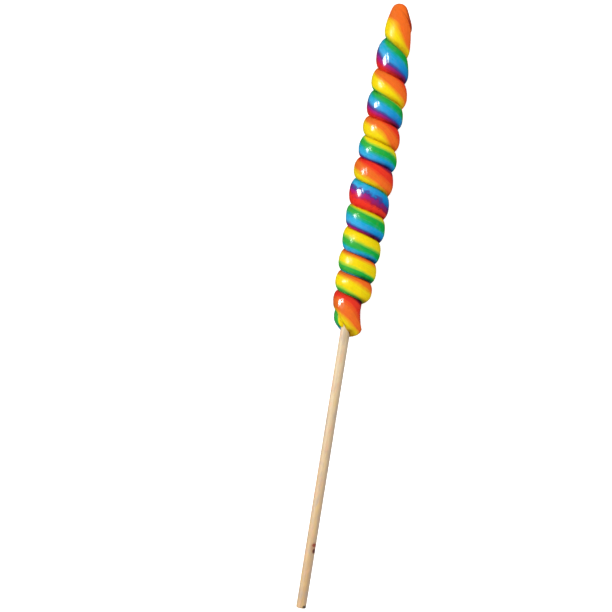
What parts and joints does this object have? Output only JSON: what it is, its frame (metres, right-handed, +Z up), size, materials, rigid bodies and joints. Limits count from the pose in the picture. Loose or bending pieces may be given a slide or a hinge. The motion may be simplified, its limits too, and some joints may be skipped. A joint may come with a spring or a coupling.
{
  "type": "swirl lollipop",
  "caption": "Long swirl lollipop: a rainbow rope of hard candy coiled and fused round the upper part of a thin round wooden stick.",
  "frame": {"origin": "bottom centre of the whole lollipop, which lies on its side on the small flats under the turns of the candy", "axes": "+Y along the stick towards the tip of the candy, +Z up, towards the side that shows, +X to the right seen from above"},
  "size_m": [0.0192, 0.2758, 0.0189],
  "materials": {
    "candy": "glossy, marbled in rainbow stripes that follow the rope",
    "stick": "plain sanded pale wood"
  },
  "bodies": {
    "root": {"candy": "candy", "stick": "stick"}
  },
  "joints": []
}
